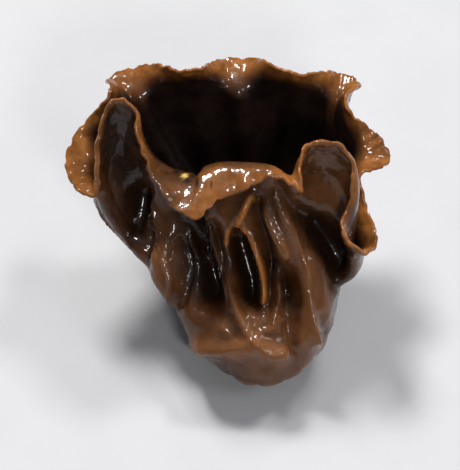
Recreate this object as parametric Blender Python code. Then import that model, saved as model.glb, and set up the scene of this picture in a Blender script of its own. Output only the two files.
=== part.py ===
"""A soaked wood ear mushroom: one thin rubbery sheet grown from a small root into a deep ruffled cup.

The sheet is laid out ring by ring, from the root up to the ruffled margin, and is thickened to both
sides. The front of the margin and the folds below it are laid out as they are seen from the front
and above.
"""

import math

import bmesh
import bpy
import numpy as np
from mathutils.bvhtree import BVHTree

MM = 0.001

# Overall sizes, in millimetres
CUT_RADIUS = 8.4
CUT_STEP = 0.6
CUT_CENTRE = (1.0, 1.0)
FRONT_VIEW_RISE = math.radians(52.0)

# Lower rings of the sheet, from the root up: x of the centre, reach to the side, to the front and to the
# back, then height at the side, at the front and at the back
LOWER_RINGS = (
    (1.0, 5.0, 5.0, 5.0, 4.2, 3.9, 4.5),
    (1.5, 8.8, 9.0, 9.0, 4.4, 3.6, 5.0),
    (3.8, 12.4, 17.0, 11.6, 6.2, 3.7, 8.0),
    (5.6, 14.6, 22.4, 13.6, 11.0, 6.6, 13.0),
    (3.2, 17.6, 20.6, 16.6, 18.0, 15.0, 20.0),
)

# Bearings of the creases between the lobes of the sides and back, in degrees
CREASES = (58.0, 83.0, 103.0, 124.0, 143.0, 161.0, 180.0, 199.0, 221.0, 240.0, 262.0, 285.0)
CREASE_RINGS = (1.5, 3.0, 4.0, 5.0, 6.0, 7.0, 8.4)
CREASE_DEPTHS = (0.0, 1.1, 2.2, 2.8, 2.2, 1.2, 0.0)

# Thickness of the sheet, in millimetres, at these ring numbers
THICKNESS_RINGS = (0.0, 1.0, 2.5, 4.0, 6.0, 8.2, 9.0)
THICKNESS = (3.6, 3.4, 2.6, 1.9, 1.5, 1.3, 0.9)
EDGE_BEAD = 0.35

# How the rings below the margin follow it: shares of the lip's width and lean, and lengths in millimetres
CREST_SHARE = 0.62
LEAN_SHARE = 0.72
MOST_INSET = 3.2
NECK_DROP = 5.0

# Widths over which the rings are evened out, as shares of the way round
OUTWARD_BLUR = 0.005
CREST_BLUR = 0.0025
LEAN_BLUR = 0.006
SHOULDER_BLUR = 0.008
MIDDLE_BLUR = 0.014
NECK_BLUR = 0.016
LOW_LINE_BLUR = 0.02
LOW_LINE_REACH = 0.035

# The margin is read at fine steps; a column is due for so many millimetres of margin, and a turn of
# the root by one radian counts as so many millimetres
FINE_STEPS = 2400
ROW_BLUR = 0.4
ROOT_SHARE = 8.75

# Sheet grid on which the folds are eased, the gap kept beside each fold as a share of the thickness,
# and the rounds of easing
BASE_COLUMNS = 280
RINGS_PER_STEP = 6
SPARE_GAP = 1.12
EASE_ROUNDS = 90
LIFT_ROUNDS = 12
LINE_STEPS = 5

# The coarser grid of the solid. Its wall folds are at least so wide, and are lower by these shares
SOLID_COLUMNS = 106
SOLID_RINGS = (
    1.0, 1.6, 2.2, 2.6, 3.0, 3.3, 3.6, 3.9, 4.2, 4.5, 4.8,
    5.1, 5.4, 5.7, 6.0, 6.4, 6.9, 7.5, 8.1, 8.6, 9.0,
)
FLOOR_RING = 0.5
LEAST_HALF_WIDTH = 2.2
BROAD_SHARE = 0.5
RIDGE_SHARE = 0.7

# The front of the margin from left to right: across and up in the front view, height above the
# cut, the bearing of its root in degrees, how far it flares outward in degrees, and lip width
FRONT_MARGIN = (
    (-27.4, 25.7, 37.0, -66, 15, 3),
    (-27.2, 32.6, 45.0, -60, 8, 3.5),
    (-26.4, 39.0, 51.0, -55, 5, 4),
    (-24.6, 43.4, 54.5, -51, 5, 5),
    (-21.8, 44.0, 55.0, -47, 8, 5),
    (-19.5, 41.2, 53.0, -43, 12, 4),
    (-19.3, 36.4, 50.5, -39, 18, 4),
    (-17.0, 30.6, 47.5, -34.5, 40, 5),
    (-14.6, 25.2, 46.0, -30, 85, 10.5),
    (-12.0, 22.2, 44.8, -25, 96, 13.5),
    (-7.2, 19.5, 44.2, -18.5, 108, 14),
    (-4.8, 22.6, 45.0, -15, 108, 13),
    (-2.2, 24.6, 46.0, -10, 104, 10),
    (1.9, 25.4, 47.0, -4, 98, 8),
    (4.7, 27.9, 48.5, 1, 88, 5),
    (8.1, 28.2, 49.5, 7, 80, 4),
    (11.5, 26.4, 48.5, 12.5, 75, 4),
    (13.3, 24.8, 47.5, 16.5, 55, 4),
    (12.5, 28.8, 49.5, 20, 30, 4),
    (13.0, 33.4, 51.5, 24, 22, 4),
    (16.1, 35.6, 52.8, 29, 12, 4),
    (20.0, 35.0, 52.0, 35, 15, 3.5),
    (22.9, 31.4, 48.8, 41, 28, 3.5),
    (23.2, 26.0, 44.5, 46, 30, 3),
    (22.0, 21.8, 39.6, 50, 15, 2.5),
    (20.7, 19.2, 38.0, 56, 5, 2.5),
    (21.6, 16.3, 38.0, 62, 20, 2.5),
    (23.8, 14.2, 36.2, 66.5, 30, 3),
    (26.0, 13.0, 33.8, 70.5, 45, 3),
)

# The rest of the margin, on round the back to the left side: x, y and height, then as above
BACK_MARGIN = (
    (28.6, -4.8, 31.6, 75.5, 50, 3.5),
    (27.4, 0.8, 31.5, 81, 35, 4),
    (25.0, 4.5, 35.0, 86, 10, 4),
    (25.2, 7.6, 38.0, 91.5, 25, 5),
    (28.0, 9.5, 37.5, 98, 65, 8),
    (31.5, 12.5, 35.0, 105, 95, 9),
    (30.5, 16.5, 36.5, 112, 80, 8),
    (26.0, 18.0, 41.0, 118, 30, 6),
    (22.5, 18.5, 44.5, 124, -5, 6),
    (22.0, 21.5, 46.0, 130, 0, 6),
    (25.0, 24.5, 44.5, 136, 45, 7),
    (25.5, 28.5, 41.5, 143, 85, 8),
    (20.5, 30.0, 43.0, 149, 70, 8),
    (16.5, 26.5, 47.0, 155, 15, 6),
    (12.5, 23.5, 49.5, 161, -20, 6),
    (8.5, 24.5, 50.5, 167, -10, 6),
    (6.0, 28.0, 49.0, 173, 30, 7),
    (2.5, 31.5, 45.5, 180, 75, 9),
    (-3.0, 31.0, 45.0, 187, 80, 9),
    (-5.5, 27.0, 49.0, 193, 25, 6),
    (-7.0, 23.0, 51.5, 199, -25, 6),
    (-10.5, 22.5, 51.5, 203, -20, 6),
    (-14.0, 25.5, 50.0, 208, 5, 6),
    (-18.0, 29.5, 46.0, 215, 60, 8),
    (-23.5, 29.5, 43.5, 222, 90, 9),
    (-26.5, 25.5, 45.0, 229, 65, 8),
    (-24.5, 22.0, 48.5, 236, 20, 6),
    (-25.0, 18.5, 48.5, 243, 0, 6),
    (-28.5, 17.0, 45.0, 250, 20, 6),
    (-32.5, 14.5, 41.0, 258, 60, 8),
    (-34.5, 10.0, 37.5, 266, 85, 8),
    (-32.0, 5.5, 35.5, 274, 65, 6),
    (-29.0, 3.5, 35.5, 282, 30, 4),
)

# The folds of the front wall, as lines in the front view: rise in millimetres (below zero is a hollow),
# half width, then the points that the line follows
WALL_HOLLOWS = (
    (-2.4, 1.7, ((8.7, 25.1), (10.8, 22.6), (13.6, 20.8))),
    (-6.8, 3.1, ((-9.0, 21.4), (-7.8, 15.8), (-6.5, 10.2), (-5.0, 5.0))),
    (-2.2, 1.3, ((-4.0, 18.3), (-3.1, 13.3), (-2.2, 9.0))),
    (-6.0, 2.6, ((0.6, 15.8), (1.6, 12.1), (2.8, 8.4), (3.4, 5.3))),
    (-3.6, 1.3, ((4.3, 23.2), (5.0, 19.5), (6.2, 15.8), (7.1, 11.5), (7.4, 7.1))),
    (-3.2, 1.4, ((9.0, 10.8), (10.5, 7.8), (11.2, 4.0))),
    (-5.0, 2.3, ((-19.5, 24.5), (-19.5, 20.8), (-20.1, 17.7))),
    (-4.0, 2.6, ((16.7, 18.3), (19.2, 14.6), (21.7, 9.6))),
    (-2.4, 0.9, ((-16.4, 17.1), (-17.1, 12.1), (-17.7, 7.1), (-18.0, 2.8))),
    (-2.2, 1.1, ((-11.5, 14.6), (-10.2, 9.0), (-10.8, 3.4))),
    (-2.2, 1.1, ((3.1, 3.1), (5.0, 2.2), (6.8, 3.1))),
    (-1.6, 1.2, ((9.9, 2.2), (10.8, -1.6), (11.2, -5.9))),
    (-1.8, 0.9, ((-24.2, 13.6), (-21.7, 12.1), (-18.6, 11.5))),
    (-1.0, 1.3, ((15.8, 0.9), (16.4, -2.2))),
    (-0.5, 1.6, ((-3.1, -6.5), (-0.9, -8.4), (0.9, -9.6))),
)

WALL_SWELLS = (
    (1.5, 2.4, ((-14.9, 12.1), (-14.9, 8.4), (-14.6, 5.0))),
    (1.2, 1.8, ((-21.7, 10.2), (-20.1, 7.1))),
    (2.2, 2.7, ((14.6, 11.5), (16.1, 6.5), (15.5, 0.9), (13.9, -3.4))),
    (1.5, 2.3, ((-4.3, -5.0), (-0.6, -5.9), (4.3, -5.6), (8.1, -6.2))),
    (1.2, 2.4, ((-6.8, 0.9), (-3.1, -0.9))),
)

WALL_RIDGES = (
    (2.0, 1.3, ((-2.2, 9.6), (-0.9, 5.3), (0.6, 1.9), (2.5, -1.9), (4.7, -4.3))),
    (1.7, 1.4, (
        (3.4, 24.8), (1.6, 21.4), (0.6, 19.2), (2.2, 17.4),
        (3.7, 14.6), (5.0, 10.8), (5.6, 7.1), (5.6, 3.4),
    )),
    (2.0, 1.3, (
        (8.1, 25.1), (9.9, 20.8), (10.8, 17.4), (11.8, 13.6),
        (12.4, 9.6), (13.3, 5.3), (13.6, 1.2), (13.9, -3.1),
    )),
    (1.2, 1.3, ((-12.4, 17.1), (-13.3, 13.3), (-12.4, 9.6), (-11.8, 5.6), (-12.7, 0.9))),
)


def clear_scene():
    """Removes what a new file holds."""
    for old in list(bpy.data.objects):
        bpy.data.objects.remove(old, do_unlink=True)


def smooth_step(value, low, high):
    """Rises smoothly from 0 at low to 1 at high."""
    part = np.clip((value - low) / (high - low), 0.0, 1.0)
    return part * part * (3.0 - 2.0 * part)


def curve_through(before, start, end, after, part):
    """The smooth curve through four points in a row, at part of the way from start to end."""
    return 0.5 * (
        2.0 * start
        + (end - before) * part
        + (2.0 * before - 5.0 * start + 4.0 * end - after) * part**2
        + (3.0 * start - before - 3.0 * end + after) * part**3
    )


def round_curve(points, count):
    """A smooth closed curve through the points, read at count even steps."""
    total = len(points)
    place = np.arange(count) * total / count
    first = np.floor(place).astype(int)
    four = [points[(first + step) % total] for step in (-1, 0, 1, 2)]
    shape = (count,) + (1,) * (points.ndim - 1)
    return curve_through(*four, (place - first).reshape(shape))


def through_rings(rings, places):
    """Smooth curves up through a stack of rings, read at the ring numbers in places."""
    first_end = 2.0 * rings[:1] - rings[1:2]
    last_end = 2.0 * rings[-1:] - rings[-2:-1]
    stack = np.concatenate([first_end, rings, last_end])
    first = np.clip(np.floor(places).astype(int), 0, len(rings) - 2)
    four = [stack[first + step] for step in (0, 1, 2, 3)]
    return curve_through(*four, (places - first)[:, None, None])


def blur_round(values, width):
    """Blurs values round a closed ring with a bell curve of the given width in samples."""
    waves = np.fft.rfftfreq(len(values))
    keep = np.exp(-2.0 * (np.pi * waves * width) ** 2)
    keep = keep.reshape((-1,) + (1,) * (values.ndim - 1))
    return np.fft.irfft(np.fft.rfft(values, axis=0) * keep, len(values), axis=0)


def placed_front_rows():
    """Turns the front view's across, up and height into x, y and height."""
    sine = math.sin(FRONT_VIEW_RISE)
    cosine = math.cos(FRONT_VIEW_RISE)
    return [
        (across, (up - cosine * height) / sine, height, root, flare, lip)
        for across, up, height, root, flare, lip in FRONT_MARGIN
    ]


def margin_lines(columns):
    """Margin points, root bearings, flares and lip widths at columns round the cup."""
    rows = np.array(placed_front_rows() + list(BACK_MARGIN), dtype=float)
    total = len(rows)
    rows[:, 3] = np.unwrap(np.radians(rows[:, 3]))
    rows[:, 3] -= np.arange(total) * 2.0 * np.pi / total
    fine = blur_round(round_curve(rows, FINE_STEPS), ROW_BLUR * FINE_STEPS / total)
    fine[:, 3] += np.arange(FINE_STEPS) * 2.0 * np.pi / FINE_STEPS
    closing = fine[:1].copy()
    closing[0, 3] += 2.0 * np.pi
    fine = np.concatenate([fine, closing])
    along = np.linalg.norm(np.diff(fine[:, :3], axis=0), axis=1)
    turned = np.abs(np.diff(fine[:, 3]))
    travelled = np.concatenate([[0.0], np.cumsum(along + ROOT_SHARE * turned)])
    wanted = np.arange(columns) / columns * travelled[-1]
    read = np.stack([np.interp(wanted, travelled, fine[:, k]) for k in range(6)], axis=1)
    return read[:, :3], read[:, 3], np.radians(read[:, 4]), read[:, 5]


def lowest_nearby(values, reach):
    """The lowest value within reach samples to either side, round a ring."""
    lowest = values.copy()
    for step in range(1, reach + 1):
        lowest = np.minimum(lowest, np.minimum(np.roll(values, step), np.roll(values, -step)))
    return lowest


def ring_stack(columns):
    """The ten rings that shape the sheet, from the root (0) to the margin (9)."""
    margin, root, flare, lip = margin_lines(columns)
    bearing = np.stack([np.sin(root), -np.cos(root)], axis=1)
    along = np.roll(margin, -1, axis=0) - np.roll(margin, 1, axis=0)
    outward = np.stack([along[:, 1], -along[:, 0]], axis=1)
    outward /= np.linalg.norm(outward, axis=1)[:, None]
    outward = blur_round(0.8 * outward + 0.4 * bearing, OUTWARD_BLUR * columns)
    outward /= np.linalg.norm(outward, axis=1)[:, None]

    def level(centre_x, radius, height):
        flat = np.array((centre_x, CUT_CENTRE[1])) + bearing * np.asarray(radius)[..., None]
        return np.concatenate([flat, np.asarray(height)[..., None]], axis=1)

    def leaning(angle):
        return np.concatenate([outward * np.sin(angle)[:, None], np.cos(angle)[:, None]], axis=1)

    side_share = np.sin(root) ** 2
    front_share = np.where(np.cos(root) > 0.0, np.cos(root) ** 2, 0.0)
    back_share = 1.0 - side_share - front_share
    lower = []
    for centre_x, side, front, back, side_height, front_height, back_height in LOWER_RINGS:
        reach = 1.0 / np.sqrt(side_share / side**2 + front_share / front**2 + back_share / back**2)
        height = side_share * side_height + front_share * front_height + back_share * back_height
        lower.append(level(centre_x, reach, height))
    lip_reach = (CREST_SHARE * lip)[:, None]
    crest = blur_round(margin - leaning(flare) * lip_reach, CREST_BLUR * columns)
    lean_below = leaning(LEAN_SHARE * blur_round(flare, LEAN_BLUR * columns))
    under = crest - lean_below * np.minimum(lip_reach, MOST_INSET)
    low_line = lowest_nearby(crest[:, 2], int(LOW_LINE_REACH * columns))
    neck = blur_round(under, NECK_BLUR * columns)
    neck[:, 2] = blur_round(low_line, LOW_LINE_BLUR * columns) - NECK_DROP
    shoulder = blur_round(0.7 * under + 0.3 * neck, SHOULDER_BLUR * columns)
    shoulder[:, 2] = blur_round(0.62 * crest[:, 2] + 0.38 * neck[:, 2], SHOULDER_BLUR * columns)
    front = smooth_step(np.cos(root), 0.2, 0.9)
    hollow = np.concatenate([(1.2 - 2.7 * front)[:, None] * bearing, (-0.8 * front)[:, None]], axis=1)
    middle = blur_round(0.5 * lower[-1] + 0.5 * neck + hollow, MIDDLE_BLUR * columns)
    rings = [*lower, middle, neck, shoulder, crest, margin]
    return np.stack(rings), root, bearing


def front_view_of(points):
    """Across and up in the front view, for points in millimetres."""
    up = math.sin(FRONT_VIEW_RISE) * points[..., 1] + math.cos(FRONT_VIEW_RISE) * points[..., 2]
    return np.stack([points[..., 0], up], axis=-1)


def line_gap(seen, line):
    """Distance in the front view from each point to the smooth line through the given points."""
    knots = np.array(line)
    ends = np.concatenate([2.0 * knots[:1] - knots[1:2], knots, 2.0 * knots[-1:] - knots[-2:-1]])
    place = np.linspace(0.0, len(knots) - 1, LINE_STEPS * (len(knots) - 1) + 1)
    first = np.minimum(place.astype(int), len(knots) - 2)
    four = [ends[first + step] for step in (0, 1, 2, 3)]
    smooth = curve_through(*four, (place - first)[:, None])
    nearest = np.full(seen.shape[:-1], np.inf)
    for start, run in zip(smooth[:-1], np.diff(smooth, axis=0)):
        part = np.clip((seen - start) @ run / (run @ run), 0.0, 1.0)
        nearest = np.minimum(nearest, np.linalg.norm(seen - start - part[..., None] * run, axis=-1))
    return nearest


def wall_heights(middle, root, places):
    """Height of the front wall's folds at points of the middle of the sheet."""
    facing = smooth_step(np.cos(root), 0.35, 0.7)[None, :]
    upper = 1.0 - smooth_step(places, 7.3, 8.2)
    lower = smooth_step(places, 1.6, 2.6)
    seen = front_view_of(middle)

    def fold(rise, half_width, line):
        return rise * np.exp(-((line_gap(seen, line) / max(half_width, LEAST_HALF_WIDTH)) ** 2))

    broad = sum(fold(*row) for row in WALL_HOLLOWS + WALL_SWELLS)
    ridges = np.stack([fold(*row) for row in WALL_RIDGES]).max(axis=0)
    return facing * (upper * lower)[:, None] * (BROAD_SHARE * broad + RIDGE_SHARE * ridges)


def side_pleats(root, places):
    """Lobes of the sides and back: rounded between one crease and the next, deepest half way up."""
    creases = np.radians(CREASES)
    turn = np.mod(root - creases[0], 2.0 * np.pi) + creases[0]
    ends = np.append(creases, creases[0] + 2.0 * np.pi)
    which = np.clip(np.searchsorted(ends, turn, side="right") - 1, 0, len(ends) - 2)
    width = ends[which + 1] - ends[which]
    part = np.clip((turn - ends[which]) / width, 0.0, 1.0)
    rounded = np.sin(np.pi * part) ** 0.6
    small = np.abs(np.sin(11.5 * root + 1.3 * np.sin(3.0 * root) - 0.3 * places[:, None])) ** 0.7
    depth = np.interp(places, CREASE_RINGS, CREASE_DEPTHS)[:, None]
    return depth * (rounded[None, :] - 0.7 + 0.3 * (small - 0.6))


def soften(sheet, rounds):
    """Evens out the sheet's grid a little, and leaves the margin where it is."""
    for _ in range(rounds):
        softer = sheet.copy()
        softer[1:-1] = 0.5 * sheet[1:-1] + 0.25 * (sheet[2:] + sheet[:-2])
        beside = np.roll(softer, 1, axis=1) + np.roll(softer, -1, axis=1)
        softer[:-1] = 0.5 * softer[:-1] + 0.25 * beside[:-1]
        sheet = softer
    return sheet


def sheet_normals(sheet):
    """Outward unit normals of the sheet's grid."""
    across = np.roll(sheet, -1, axis=1) - np.roll(sheet, 1, axis=1)
    upward = np.gradient(sheet, axis=0)
    normals = np.cross(across, upward)
    normals /= np.linalg.norm(normals, axis=2)[..., None] + 1e-12
    normals = soften(normals, 1)
    return normals / np.linalg.norm(normals, axis=2)[..., None]


def half_thickness(places):
    """Half the sheet's thickness at the ring numbers in places."""
    return 0.5 * np.interp(places, THICKNESS_RINGS, THICKNESS)[:, None, None]


def grid_triangles(rings, columns, offset):
    """Two triangles for each cell between neighbouring rings of a closed grid."""
    ring, column = np.meshgrid(np.arange(rings - 1), np.arange(columns), indexing="ij")
    beside = (column + 1) % columns
    a = offset + ring * columns + column
    b = offset + ring * columns + beside
    c = offset + (ring + 1) * columns + beside
    d = offset + (ring + 1) * columns + column
    first = np.stack([a, b, c], axis=-1).reshape(-1, 3)
    second = np.stack([a, c, d], axis=-1).reshape(-1, 3)
    return np.concatenate([first, second])


def touching_cells(sheet, places):
    """Marks the grid points where the thickened sheet runs into itself, and counts the faults."""
    normals = sheet_normals(sheet)
    half = SPARE_GAP * half_thickness(places)
    start = int(np.searchsorted(places, 0.6))
    outer = (sheet + normals * half)[start:]
    inner = (sheet - normals * half)[start:]
    rings, columns = outer.shape[:2]
    points = np.concatenate([outer.reshape(-1, 3), inner.reshape(-1, 3)])
    triangles = np.concatenate(
        [
            grid_triangles(rings, columns, 0),
            grid_triangles(rings, columns, rings * columns),
        ]
    )
    tree = BVHTree.FromPolygons(points.tolist(), triangles.tolist(), all_triangles=True)
    pairs = np.array(tree.overlap(tree), dtype=int).reshape(-1, 2)
    pairs = pairs[pairs[:, 0] < pairs[:, 1]]
    one = triangles[pairs[:, 0]]
    other = triangles[pairs[:, 1]]
    neighbours = (one[:, :, None] == other[:, None, :]).any(axis=(1, 2))
    hit = np.zeros(len(points))
    hit[np.concatenate([one[~neighbours], other[~neighbours]]).ravel()] = 1.0
    sides = hit.reshape(2, rings, columns)
    marks = np.zeros(sheet.shape[:2])
    marks[start:] = sides.max(axis=0)
    return marks, int((~neighbours).sum())


def ease_folds(sheet, places):
    """Relaxes the sheet where its folds run into each other, until none do."""
    hold_margin = 1.0 - 0.85 * smooth_step(places, 8.0, 9.0)[:, None]
    for _ in range(EASE_ROUNDS):
        marks, faults = touching_cells(sheet, places)
        if faults == 0:
            break
        for _ in range(3):
            marks = np.maximum(marks, 0.75 * np.maximum(np.roll(marks, 1, 1), np.roll(marks, -1, 1)))
            spread = marks.copy()
            spread[1:-1] = np.maximum(marks[1:-1], 0.75 * np.maximum(marks[2:], marks[:-2]))
            marks = spread
        for _ in range(5):
            pull = 0.25 * (np.roll(sheet, 1, axis=1) + np.roll(sheet, -1, axis=1) - 2.0 * sheet)
            pull[1:-1] += 0.25 * (sheet[2:] + sheet[:-2] - 2.0 * sheet[1:-1])
            sheet = sheet + 0.8 * (marks * hold_margin)[..., None] * pull
    return sheet


def sheet_grid():
    """The middle of the sheet on the base grid, in millimetres."""
    rings, root, bearing = ring_stack(BASE_COLUMNS)
    last = len(rings) - 1
    places = np.linspace(0.0, last, last * RINGS_PER_STEP + 1)
    sheet = through_rings(rings, places)
    behind = 1.0 - smooth_step(np.cos(root), 0.1, 0.4)
    around = np.concatenate([bearing, np.zeros((BASE_COLUMNS, 1))], axis=1)
    sideways = side_pleats(root, places) * behind[None, :]
    sheet = sheet + sideways[..., None] * around
    return ease_folds(soften(sheet, 3), places), places


def read_sheet(sheet, columns, places):
    """Reads the base grid at other columns and ring numbers."""
    across = np.swapaxes(round_curve(np.swapaxes(sheet, 0, 1), columns), 0, 1)
    return through_rings(across, np.asarray(places) * RINGS_PER_STEP)


def lift_directions(sheet):
    """The way the wall's folds rise from the base grid: its normals, evened out."""
    smooth = soften(sheet_normals(sheet), LIFT_ROUNDS)
    return smooth / np.linalg.norm(smooth, axis=2)[..., None]


def cut_rings(root):
    """The short stub below the cup, whose lowest ring bounds the flat cut."""
    bearing = np.stack([np.sin(root), -np.cos(root)], axis=1)
    uneven = 1.0 + 0.05 * np.sin(3.0 * root + 0.5) + 0.04 * np.sin(7.0 * root)
    rings = []
    for radius, height in ((CUT_RADIUS, 0.0), (CUT_RADIUS + 0.2, CUT_STEP)):
        flat = np.array(CUT_CENTRE) + bearing * (radius * uneven)[:, None]
        rings.append(np.concatenate([flat, np.full((len(root), 1), height)], axis=1))
    return rings


def solid_rings():
    """All rings of the solid in order: cut, outer face, rounded margin, inner face, floor."""
    base, _ = sheet_grid()
    places = np.array((FLOOR_RING, *SOLID_RINGS))
    middle = read_sheet(base, SOLID_COLUMNS, places)
    root = margin_lines(SOLID_COLUMNS)[1]
    directions = read_sheet(lift_directions(base), SOLID_COLUMNS, places)
    lift = wall_heights(middle, root, places)[..., None] * directions
    across = sheet_normals(middle) * half_thickness(places)
    outer = middle + across + lift
    inner = middle - across + lift
    rise = middle[-1] - middle[-2]
    bead = middle[-1] + EDGE_BEAD * rise / np.linalg.norm(rise, axis=1)[:, None]
    rings = [*cut_rings(root), *outer[1:], bead, *inner[::-1]]
    shift = np.array([*CUT_CENTRE, 0.0])
    return [(ring - shift) * MM for ring in rings]


def flesh_material():
    """Wet brown flesh."""
    material = bpy.data.materials.new("flesh")
    material.use_nodes = True
    shader = material.node_tree.nodes["Principled BSDF"]
    shader.inputs["Base Color"].default_value = (0.10, 0.038, 0.014, 1.0)
    shader.inputs["Roughness"].default_value = 0.25
    shader.inputs["Metallic"].default_value = 0.0
    return material


def wood_ear():
    """The mushroom: rings of edges bridged one to the next, with both ends filled."""
    build = bmesh.new()
    loops = []
    for ring in solid_rings():
        corners = [build.verts.new(point) for point in ring]
        pairs = zip(corners, corners[1:] + corners[:1])
        loops.append([build.edges.new(pair) for pair in pairs])
    for low, high in zip(loops[:-1], loops[1:]):
        bmesh.ops.bridge_loops(build, edges=low + high)
    for end in (loops[0], loops[-1]):
        bmesh.ops.contextual_create(build, geom=end)
    bmesh.ops.triangulate(build, faces=build.faces[:], quad_method="SHORT_EDGE")
    bmesh.ops.recalc_face_normals(build, faces=build.faces[:])
    mesh = bpy.data.meshes.new("wood_ear")
    build.to_mesh(mesh)
    build.free()
    mesh.shade_smooth()
    mesh.set_sharp_from_angle(angle=math.radians(75.0))
    mesh.materials.append(flesh_material())
    body = bpy.data.objects.new("wood_ear", mesh)
    bpy.context.scene.collection.objects.link(body)
    return body


def main():
    clear_scene()
    wood_ear()


main()
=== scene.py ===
"""Looks of a soaked wood ear mushroom: one thin sheet of wet brown flesh, pleated and ruffled.

The shape functions work in millimetres and radians. The finished meshes are in metres.
"""

import itertools
import math

import bpy
import numpy as np
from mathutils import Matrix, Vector
from mathutils.bvhtree import BVHTree


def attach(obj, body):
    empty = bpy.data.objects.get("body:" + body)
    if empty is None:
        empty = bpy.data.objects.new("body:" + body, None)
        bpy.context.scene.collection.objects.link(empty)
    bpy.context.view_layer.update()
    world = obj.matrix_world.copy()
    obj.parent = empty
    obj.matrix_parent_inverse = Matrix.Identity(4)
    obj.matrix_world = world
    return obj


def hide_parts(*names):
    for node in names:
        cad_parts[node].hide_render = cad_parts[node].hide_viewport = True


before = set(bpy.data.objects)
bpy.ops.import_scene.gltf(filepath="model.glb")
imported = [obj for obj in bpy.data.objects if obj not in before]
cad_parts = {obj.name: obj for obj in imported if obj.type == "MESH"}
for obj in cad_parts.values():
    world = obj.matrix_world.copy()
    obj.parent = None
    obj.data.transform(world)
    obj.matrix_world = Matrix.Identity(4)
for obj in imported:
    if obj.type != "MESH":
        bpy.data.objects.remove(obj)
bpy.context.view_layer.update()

bl_info = {
    "name": "Soaked Wood Ear Mushroom",
    "version": (1, 0, 0),
    "blender": (4, 5, 0),
    "location": "3D View > Sidebar > Wood Ear",
    "description": "Builds the wet, translucent flesh of a wood ear mushroom on its packed frame",
    "category": "Add Mesh",
}

CAD_NODE = "wood_ear"
BODY = "root"
MM = 0.001

# Overall sizes, in millimetres
CUT_RADIUS = 8.4
CUT_STEP = 0.6
CUT_CENTRE = (1.0, 1.0)
FRONT_VIEW_RISE = math.radians(52.0)

# Lower rings of the sheet, from the root up: x of the centre, reach to the side, to the front and to the
# back, then height at the side, at the front and at the back
LOWER_RINGS = (
    (1.0, 5.0, 5.0, 5.0, 4.2, 3.9, 4.5),
    (1.5, 8.8, 9.0, 9.0, 4.4, 3.6, 5.0),
    (3.8, 12.4, 17.0, 11.6, 6.2, 3.7, 8.0),
    (5.6, 14.6, 22.4, 13.6, 11.0, 6.6, 13.0),
    (3.2, 17.6, 20.6, 16.6, 18.0, 15.0, 20.0),
)

# Bearings of the creases between the lobes of the sides and back, in degrees
CREASES = (58.0, 83.0, 103.0, 124.0, 143.0, 161.0, 180.0, 199.0, 221.0, 240.0, 262.0, 285.0)
CREASE_RINGS = (1.5, 3.0, 4.0, 5.0, 6.0, 7.0, 8.4)
CREASE_DEPTHS = (0.0, 1.1, 2.2, 2.8, 2.2, 1.2, 0.0)

# Thickness of the sheet, in millimetres, at these ring numbers
THICKNESS_RINGS = (0.0, 1.0, 2.5, 4.0, 6.0, 8.2, 9.0)
THICKNESS = (3.6, 3.4, 2.6, 1.9, 1.5, 1.2, 0.7)

# How the rings below the margin follow it: shares of the lip's width and lean, and lengths in millimetres.
# Then mixes: of the margin's outward direction and the root's bearing, and of the rings above and below
CREST_SHARE = 0.62
LEAN_SHARE = 0.72
MOST_INSET = 3.2
NECK_DROP = 5.0
OUTWARD_MIX = (0.8, 0.4)
SHOULDER_MIX = (0.7, 0.3)
SHOULDER_HEIGHT_MIX = (0.62, 0.38)

# How far the middle ring swells out all round, and is drawn in and lowered in front, in millimetres
MIDDLE_SWELL = 1.2
MIDDLE_DRAWN_IN = 2.7
MIDDLE_LOWERED = 0.8

# Widths over which the rings are evened out, as shares of the way round
OUTWARD_BLUR = 0.005
CREST_BLUR = 0.0025
LEAN_BLUR = 0.006
SHOULDER_BLUR = 0.008
MIDDLE_BLUR = 0.014
NECK_BLUR = 0.016
LOW_LINE_BLUR = 0.02
LOW_LINE_REACH = 0.035

# The margin is read at fine steps, evened out over a share of the gap between two rows. Columns are spaced
# by the way along it, where a radian of the root's bearing counts as so many millimetres
FINE_STEPS = 2400
ROW_BLUR = 0.4
ROOT_SHARE = 8.75

# The base grid, and how folds that touch are eased: the thickness that counts as touching, the ring it
# starts from, and rounds that mark the faults, spread the marks and pull the marked cells flat
BASE_COLUMNS = 280
RINGS_PER_STEP = 6
SPARE_GAP = 1.12
EASE_FROM_RING = 0.6
EASE_ROUNDS = 90
SPREADS_PER_ROUND = 3
SPREAD_SHARE = 0.75
PULLS_PER_ROUND = 5
PULL_SHARE = 0.8
MARGIN_HOLD = 0.85

# Rounds of evening out the sheet and the way its folds rise, and steps between two points of a line
SHEET_ROUNDS = 3
LIFT_ROUNDS = 12
LINE_STEPS = 5

# How full a fold or a band of painted shade is beside its line: the power that the gap is raised to
BROAD_POWER = 2
RIDGE_POWER = 1.5
PAINTED_SHADE_POWER = 3

# Ring numbers between which a feature fades in or out, from the root (0) to the margin (9)
MARGIN_RING = 9.0
MARGIN_RINGS = (8.0, 9.0)
WALL_START = (1.6, 2.6)
WALL_END = (7.3, 8.2)
WRINKLES_START = (1.0, 2.0)
WRINKLES_END = (7.5, 9.0)
ROOT_FOLDS_START = (0.8, 1.6)
ROOT_FOLDS_END = (2.2, 3.8)
RUFFLE_RINGS = (7.2, 9.0)
NICK_RINGS = (8.1, 9.0)
LIP_RINGS = (6.5, 7.5)

# Cosines of the root's bearing between which a feature fades: 1 is the front, 0 the sides
WALL_FACING = (0.35, 0.7)
FRONT_FACING = (0.2, 0.9)
BACK_FACING = (0.1, 0.4)
LIP_FACING = (0.5, 0.7)
PAINTED_SHADE_FACING = (0.0, 0.3)
TAN_FACING = (0.78, 0.92)

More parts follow.
